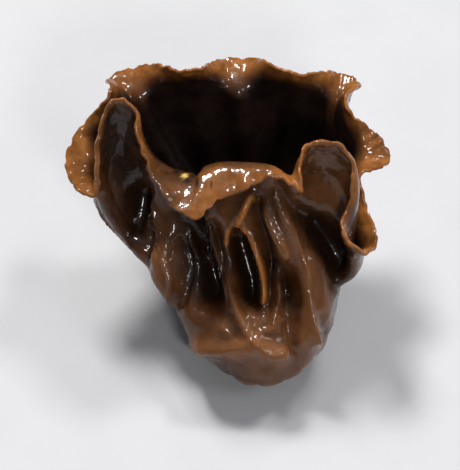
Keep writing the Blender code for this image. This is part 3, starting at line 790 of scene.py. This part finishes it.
def wall_heights(middle, root, places):
    """Height of the wall's folds, and of its fins alone, at points of the middle of the sheet."""
    facing = smooth_step(np.cos(root), *WALL_FACING)[None, :]
    upper = 1.0 - smooth_step(places, *WALL_END)
    lower = smooth_step(places, *WALL_START)
    share = facing * (upper * lower)[:, None]
    seen = front_view_of(middle)
    broad = sum(along_line(seen, row, BROAD_POWER) for row in WALL_HOLLOWS + WALL_SWELLS)
    narrow = highest(seen, WALL_RIDGES, RIDGE_POWER)
    fins = highest(seen, WALL_FINS, RIDGE_POWER)
    return share * (broad + np.maximum(narrow, fins)), share * fins


def spots(points, places, root, marks):
    """How much of a spot lies at each point: soft round marks placed in the front view, on the lip only."""
    seen = front_view_of(points)
    share = np.zeros(seen.shape[:-1])
    for across, up, radius in marks:
        gap = np.linalg.norm(seen - np.array((across, up)), axis=-1)
        share = np.maximum(share, 1.0 - smooth_step(gap / radius, *SPOT_EDGE))
    in_front = smooth_step(np.cos(root), *LIP_FACING)[None, :]
    return share * smooth_step(places, *LIP_RINGS)[:, None] * in_front


def painted_shade(points, root, bands):
    """How much painted shade the face has at each point: soft dark bands along lines in the front view."""
    in_front = smooth_step(np.cos(root), *PAINTED_SHADE_FACING)[None, :]
    return highest(front_view_of(points), bands, PAINTED_SHADE_POWER) * in_front


def face_points(side, places, root, flare, base):
    """One face of the sheet: its points, and the values that the material reads there."""
    outer = side > 0.0
    upward = places[-1] > places[0]
    forward = 1.0 if upward else -1.0
    middle = read_sheet(base, COLUMNS, places)
    normals = sheet_normals(middle) * forward
    height, fins = wall_heights(middle, root, places)
    lift = height[..., None] * read_sheet(lift_directions(base), COLUMNS, places)
    fine = fine_relief(middle, root, places) if outer else np.zeros(middle.shape[:2])
    ruffles = layered(middle, RUFFLES) * smooth_step(places, *RUFFLE_RINGS)[:, None]
    rising = unit(np.gradient(middle, axis=0) * forward)
    across = side * half_thickness(places) + (fine + ruffles)[..., None]
    points = middle + normals * across + lift - rising * nicks(base, places)[..., None]
    values = {
        "from_edge": distance_from_edge(middle, upward),
        "inside": np.full(middle.shape[:2], 0.0 if outer else 1.0),
        "relief": height + fine,
        "amber": fins,
        # The dark bands are painted shade, where the wall and the lip lie in shadow
        "dark": painted_shade(points, root, WALL_PAINTED_SHADE if outer else LIP_PAINTED_SHADE),
        "tan_reach": np.broadcast_to(tan_reach(side, root, flare), middle.shape[:2]),
        "dark_speck": spots(points, places, root, () if outer else DARK_SPECKS),
        "pale_crumb": spots(points, places, root, () if outer else (PALE_CRUMB,)),
    }
    return points, values, rising


def cut_stub(root):
    """The two lowest rings: the uneven cut that the mushroom rests on, and the flesh just above it."""
    bearing = np.stack([np.sin(root), -np.cos(root)], axis=1)
    uneven = waves(root, CUT_WAVES, 1.0)
    return [
        level_ring(bearing, CUT_CENTRE[0], radius * uneven, np.full(COLUMNS, height))
        for radius, height in ((CUT_RADIUS, 0.0), (CUT_RADIUS + CUT_SPLAY, CUT_STEP))
    ]


def rounded_edge(outer_end, inner_start, rising):
    """Rings that close the margin round from the outer face to the inner one."""
    turn = np.linspace(0.0, math.pi, EDGE_RINGS + 2)[1:-1, None, None]
    centre = 0.5 * (outer_end + inner_start)
    across = 0.5 * (outer_end - inner_start)
    round_out = EDGE_BULGE * np.linalg.norm(across, axis=1)[:, None] * rising
    return centre + np.cos(turn) * across + np.sin(turn) * round_out


def build_surface():
    """Points of the closed surface ring by ring, and the values that its material reads."""
    base = sheet_grid()
    _, root, flare, _ = margin_lines(COLUMNS)
    outer_places = MARGIN_RING - OUTER_SPAN * np.linspace(1.0, 0.0, OUTER_RINGS)
    inner_places = MARGIN_RING - INNER_SPAN * np.linspace(0.0, 1.0, INNER_RINGS) ** INNER_CROWDING
    outer, outer_values, rising = face_points(1.0, outer_places, root, flare, base)
    inner, inner_values, _ = face_points(-1.0, inner_places, root, flare, base)
    stub = cut_stub(root)
    edge = rounded_edge(outer[-1], inner[0], rising[-1])
    points = np.concatenate([stub, outer, edge, inner])
    values = {}
    for name in outer_values:
        below = np.repeat(outer_values[name][:1], len(stub), axis=0)
        part = np.linspace(0.0, 1.0, EDGE_RINGS + 2)[1:-1, None]
        between = (1.0 - part) * outer_values[name][-1:] + part * inner_values[name][:1]
        values[name] = np.concatenate([below, outer_values[name], between, inner_values[name]])
    values["cut"] = np.zeros(points.shape[:2])
    values["cut"][0] = 1.0
    shift = np.array([*CUT_CENTRE, 0.0])
    return (points - shift) * MM, values


def closed_mesh(name, rings, values):
    """A mesh of quads between rings, closed by a fan at both ends, with one attribute for each value."""
    count, columns = rings.shape[:2]
    quads = grid_cells(count, columns)
    low_centre = count * columns
    high_centre = low_centre + 1
    here = np.arange(columns)
    there = (here + 1) % columns
    top = (count - 1) * columns
    low_fan = np.stack([np.full(columns, low_centre), there, here], axis=-1)
    high_fan = np.stack([np.full(columns, high_centre), top + here, top + there], axis=-1)
    points = np.concatenate([rings.reshape(-1, 3), [rings[0].mean(axis=0)], [rings[-1].mean(axis=0)]])
    mesh = bpy.data.meshes.new(name)
    mesh.from_pydata(points.tolist(), [], quads.tolist() + low_fan.tolist() + high_fan.tolist())
    for key, value in values.items():
        ends = [value[0].mean(), value[-1].mean()]
        attribute = mesh.attributes.new(key, "FLOAT", "POINT")
        attribute.data.foreach_set("value", np.concatenate([value.ravel(), ends]).astype(np.float32))
    mesh.shade_smooth()
    return mesh


def link(name, mesh, material):
    """Puts a finished mesh into the scene with its material."""
    mesh.materials.append(material)
    piece = bpy.data.objects.new(name, mesh)
    bpy.context.scene.collection.objects.link(piece)
    return piece


class Nodes:
    """Adds and joins the nodes of one material, or of the world."""

    def __init__(self, owner):
        owner.use_nodes = True
        self.tree = owner.node_tree

    def feed(self, node, inputs):
        """Gives a node its inputs by name or number: links a socket, and sets a plain value."""
        for key, value in inputs.items():
            if isinstance(value, bpy.types.NodeSocket):
                self.tree.links.new(value, node.inputs[key])
            else:
                node.inputs[key].default_value = value

    def add(self, kind, output, inputs, **settings):
        """Adds a node with its settings and inputs, and returns one of its outputs."""
        node = self.tree.nodes.new(kind)
        for key, value in settings.items():
            setattr(node, key, value)
        self.feed(node, inputs)
        return node.outputs[output]

    def place(self, kind="Object"):
        return self.add("ShaderNodeTexCoord", kind, {})

    def attribute(self, name):
        return self.add("ShaderNodeAttribute", "Fac", {}, attribute_name=name)

    def ramp(self, value, low, high, start=0.0, end=1.0):
        """Eases from start at low to end at high."""
        limits = {"From Min": low, "From Max": high, "To Min": start, "To Max": end}
        inputs = {"Value": value, **limits}
        return self.add("ShaderNodeMapRange", "Result", inputs, interpolation_type="SMOOTHSTEP")

    def noise(self, place, scale, detail=3.0, roughness=0.55, distortion=0.0):
        shape = {"Scale": scale, "Detail": detail, "Roughness": roughness, "Distortion": distortion}
        return self.add("ShaderNodeTexNoise", "Fac", {"Vector": place, **shape})

    def stretched(self, place, scale):
        """The place with each axis multiplied by its own scale."""
        return self.add("ShaderNodeVectorMath", "Vector", {0: place, 1: scale}, operation="MULTIPLY")

    def maths(self, operation, one, other):
        return self.add("ShaderNodeMath", "Value", {0: one, 1: other}, operation=operation)

    def mix(self, share, one, other):
        """Colour one where share is 0 and colour other where it is 1."""
        inputs = {"Factor": share, "A": one, "B": other}
        return self.add("ShaderNodeMix", "Result", inputs, data_type="RGBA")

    def bump(self, height, strength, distance):
        inputs = {"Strength": strength, "Distance": distance, "Height": height}
        return self.add("ShaderNodeBump", "Normal", inputs)


def flesh_material(settings):
    """Wet flesh under a film of water: brown walls, a dark inner face, a tan margin and amber fins, with
    painted shade in the deep folds, the shadowed bands and the inner face, painted light on the raised
    folds and a painted glow on the fins.
    """
    material = bpy.data.materials.new("wet_flesh")
    nodes = Nodes(material)
    place = nodes.place()
    from_edge = nodes.attribute("from_edge")
    inside = nodes.attribute("inside")
    relief = nodes.attribute("relief")

    # Each ramp says between which values a colour comes in, and the share of it before and after
    mottle = nodes.noise(place, *MOTTLE)
    broad = nodes.noise(place, *BLOTCHES)
    streak = nodes.noise(nodes.stretched(place, STREAK_SCALES), 1.0, 3.0)
    wall = nodes.mix(nodes.ramp(mottle, 0.35, 0.7), settings.wall_dark, settings.wall)
    wall = nodes.mix(nodes.ramp(broad, 0.35, 0.7, 0.0, 0.6), wall, settings.pale_and_lit_wall)
    wall = nodes.mix(nodes.ramp(streak, 0.5, 0.72, 0.0, 0.35), wall, settings.wall_dark)
    # Painted light: the raised folds turn paler, as if catching the light
    wall = nodes.mix(nodes.ramp(relief, 0.4, 1.8, 0.0, 0.75), wall, settings.pale_and_lit_wall)
    # Painted shade: the deep folds turn near black, as if in shadow
    wall = nodes.mix(nodes.ramp(relief, -0.3, -4.5, 0.0, 0.85), wall, settings.hollow)
    # The inner face is dark flesh, made near black as painted shade of the cup's hollow
    deep = nodes.mix(nodes.ramp(mottle, 0.3, 0.75), settings.inner_dark, settings.inner)
    flesh = nodes.mix(inside, wall, deep)

    share = nodes.maths("DIVIDE", from_edge, nodes.attribute("tan_reach"))
    wavering = nodes.maths("ADD", share, nodes.ramp(broad, 0.25, 0.75, -0.35, 0.35))
    margin = nodes.mix(nodes.ramp(mottle, 0.3, 0.75), settings.margin, settings.margin_light)
    margin = nodes.mix(nodes.ramp(broad, 0.42, 0.66, 0.0, 0.6), margin, settings.margin_deep)
    flesh = nodes.mix(nodes.ramp(wavering, 2.2, 0.9, 0.0, 0.75), flesh, settings.margin_deep)
    flesh = nodes.mix(nodes.ramp(wavering, 1.35, 0.3, 0.0, 0.95), flesh, margin)
    # Painted shade: the near-black hollow colour laid along the bands where the wall and the lip lie in
    # shadow
    flesh = nodes.mix(nodes.attribute("dark"), flesh, settings.hollow)
    # Painted glow: amber on the thin fins, as if lit through
    flesh = nodes.mix(nodes.ramp(nodes.attribute("amber"), 0.8, 2.4, 0.0, 0.85), flesh, settings.amber)
    flesh = nodes.mix(nodes.attribute("dark_speck"), flesh, settings.inner_dark)
    flesh = nodes.mix(nodes.attribute("pale_crumb"), flesh, settings.crumb)
    flesh = nodes.mix(nodes.attribute("cut"), flesh, settings.cut)

    streaks = nodes.maths("MULTIPLY", streak, STREAKS_IN_RIPPLE)
    ripple = nodes.maths("ADD", nodes.noise(place, *RIPPLE), streaks)
    inputs = {
        "Base Color": flesh,
        "Roughness": nodes.ramp(nodes.noise(place, *DULLNESS), 0.3, 0.7, *ROUGHNESS),
        "Normal": nodes.bump(ripple, *RIPPLE_BUMP),
        "Coat Normal": nodes.bump(nodes.noise(place, *FILM_WAVES), *FILM_BUMP),
        "Coat Weight": settings.wetness,
        **FLESH_SHADER,
    }
    nodes.feed(nodes.tree.nodes["Principled BSDF"], inputs)
    return material


def floor_material(settings):
    """Pale matt paper."""
    material = bpy.data.materials.new("pale_floor")
    nodes = Nodes(material)
    grain = nodes.ramp(nodes.noise(nodes.place(), *PAPER_GRAIN), 0.3, 0.7)
    low = tuple(PAPER_SHADE * channel for channel in settings.floor_colour[:3]) + (1.0,)
    paper = nodes.mix(grain, low, settings.floor_colour)
    nodes.feed(nodes.tree.nodes["Principled BSDF"], {"Base Color": paper, "Roughness": PAPER_ROUGHNESS})
    return material


def soft_room():
    """A dim room that is a little brighter overhead."""
    world = bpy.data.worlds.new("soft_room")
    nodes = Nodes(world)
    up = nodes.add("ShaderNodeSeparateXYZ", "Z", {"Vector": nodes.place("Generated")})
    strength = nodes.ramp(up, *ROOM_HEIGHTS, *ROOM_STRENGTHS)
    nodes.feed(nodes.tree.nodes["Background"], {"Strength": strength, "Color": ROOM_COLOUR})
    return world


def colour(name, description, red, green, blue):
    """A colour setting."""
    return bpy.props.FloatVectorProperty(
        name=name,
        description=description,
        subtype="COLOR",
        size=4,
        min=0.0,
        max=1.0,
        default=(red, green, blue, 1.0),
    )


class WoodEarFleshSettings(bpy.types.PropertyGroup):
    """Colours and wetness of the flesh."""

    wall: colour("Wall", "Thick flesh of the outer face", 0.080, 0.027, 0.008)
    wall_dark: colour("Dark Wall", "Dark mottling of the outer face", 0.042, 0.014, 0.005)
    # Pale blotches of the flesh, and painted light on the raised folds
    pale_and_lit_wall: colour("Light Wall", "Raised folds of the outer face", 0.185, 0.075, 0.027)
    # Painted shade: near-black colour for the deep folds and the shadowed bands
    hollow: colour("Hollow", "Deep folds of the outer face", 0.010, 0.0045, 0.0025)
    # Dark flesh of the inner face, made near black as painted shade of the cup's hollow
    inner: colour("Inner Face", "Inner face of the cup", 0.018, 0.009, 0.007)
    inner_dark: colour("Dark Inner Face", "Dark mottling of the inner face", 0.007, 0.004, 0.0035)
    margin: colour("Margin", "Thin flesh near the margin", 0.155, 0.055, 0.012)
    margin_light: colour("Light Margin", "Pale mottling near the margin", 0.285, 0.108, 0.025)
    margin_deep: colour("Deep Margin", "Flesh between the margin and the rest", 0.095, 0.032, 0.009)
    # Painted glow of light shining through the thin fins
    amber: colour("Amber Fin", "Thin translucent fins", 0.36, 0.130, 0.028)
    crumb: colour("Crumb", "Pale crumb on the lip", 0.55, 0.42, 0.12)
    cut: colour("Cut", "Cut flesh under the root", 0.30, 0.19, 0.11)
    wetness: bpy.props.FloatProperty(
        name="Wetness",
        description="How much of a film of water lies on the flesh",
        subtype="FACTOR",
        min=0.0,
        max=1.0,
        default=0.9,
    )


class WoodEarStageSettings(bpy.types.PropertyGroup):
    """Floor, light and camera."""

    floor_colour: colour("Floor", "Pale floor", 0.43, 0.432, 0.45)
    camera_rise: bpy.props.FloatProperty(
        name="Camera Rise",
        description="Height of the camera's line of sight above level",
        subtype="ANGLE",
        default=FRONT_VIEW_RISE,
    )
    camera_distance: bpy.props.FloatProperty(
        name="Camera Distance",
        description="From the camera to the middle of the mushroom",
        subtype="DISTANCE",
        unit="LENGTH",
        default=0.6,
    )
    view_height: bpy.props.FloatProperty(
        name="View Height",
        description="Height of what the picture shows at the mushroom",
        subtype="DISTANCE",
        unit="LENGTH",
        default=0.096,
    )


class WOODEAR_OT_add_flesh(bpy.types.Operator):
    """Build the wet flesh of the whole mushroom"""

    bl_idname = "wood_ear.add_flesh"
    bl_label = "Add Flesh"

    def execute(self, context):
        settings = context.scene.wood_ear_flesh
        rings, values = build_surface()
        mesh = closed_mesh("wood_ear_flesh", rings, values)
        piece = link("wood_ear_flesh", mesh, flesh_material(settings))
        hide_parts(CAD_NODE)
        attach(piece, BODY)
        return {"FINISHED"}


def aim(thing, place, target):
    """Places a light or camera so that it looks at the target."""
    thing.location = place
    thing.rotation_euler = (Vector(target) - Vector(place)).to_track_quat("-Z", "Y").to_euler()
    bpy.context.scene.collection.objects.link(thing)


def soft_light(name, place, size, power, tint):
    """A square soft box."""
    light = bpy.data.lights.new(name, "AREA")
    light.size = size
    light.energy = power
    light.color = tint
    aim(bpy.data.objects.new(name, light), place, LIGHT_TARGET)


def add_floor(settings):
    """The square of paper that the mushroom stands on."""
    mesh = bpy.data.meshes.new("floor")
    signs = ((-1, -1), (1, -1), (1, 1), (-1, 1))
    corners = [(FLOOR_REACH * x, FLOOR_REACH * y, 0.0) for x, y in signs]
    mesh.from_pydata(corners, [], [(0, 1, 2, 3)])
    floor = link("floor", mesh, floor_material(settings))


def add_camera(settings):
    """The camera of the front view, far enough away for a flat view."""
    camera = bpy.data.cameras.new("camera")
    camera.sensor_width = SENSOR_WIDTH
    camera.lens = camera.sensor_width * settings.camera_distance / settings.view_height
    eye = bpy.data.objects.new("camera", camera)
    target = Vector(CAMERA_TARGET)
    back = Vector((0.0, -math.cos(settings.camera_rise), math.sin(settings.camera_rise)))
    aim(eye, target + back * settings.camera_distance, target)
    return eye


class WOODEAR_OT_add_stage(bpy.types.Operator):
    """Build the floor, the soft light and the camera"""

    bl_idname = "wood_ear.add_stage"
    bl_label = "Add Stage"

    def execute(self, context):
        settings = context.scene.wood_ear_stage
        add_floor(settings)
        context.scene.world = soft_room()
        for name, light in LIGHTS.items():
            soft_light(name, *light)
        context.scene.camera = add_camera(settings)
        context.scene.view_settings.view_transform = "Standard"
        return {"FINISHED"}


class WOODEAR_PT_panel(bpy.types.Panel):
    """Sidebar panel that lists the settings and the steps"""

    bl_label = "Wood Ear"
    bl_idname = "WOODEAR_PT_panel"
    bl_space_type = "VIEW_3D"
    bl_region_type = "UI"
    bl_category = "Wood Ear"

    def draw(self, context):
        for settings in (context.scene.wood_ear_flesh, context.scene.wood_ear_stage):
            box = self.layout.box()
            for name in settings.bl_rna.properties.keys():
                if name not in ("rna_type", "name"):
                    box.prop(settings, name)
        for operator in OPERATORS:
            self.layout.operator(operator.bl_idname)


OPERATORS = (WOODEAR_OT_add_flesh, WOODEAR_OT_add_stage)
SETTINGS = {"wood_ear_flesh": WoodEarFleshSettings, "wood_ear_stage": WoodEarStageSettings}


def register():
    for name, group in SETTINGS.items():
        bpy.utils.register_class(group)
        setattr(bpy.types.Scene, name, bpy.props.PointerProperty(type=group))
    for part in (*OPERATORS, WOODEAR_PT_panel):
        bpy.utils.register_class(part)


def unregister():
    for part in (WOODEAR_PT_panel, *reversed(OPERATORS)):
        bpy.utils.unregister_class(part)
    for name, group in SETTINGS.items():
        delattr(bpy.types.Scene, name)
        bpy.utils.unregister_class(group)


def main():
    register()
    bpy.ops.wood_ear.add_flesh()
    bpy.ops.wood_ear.add_stage()


if __name__ == "__main__":
    main()
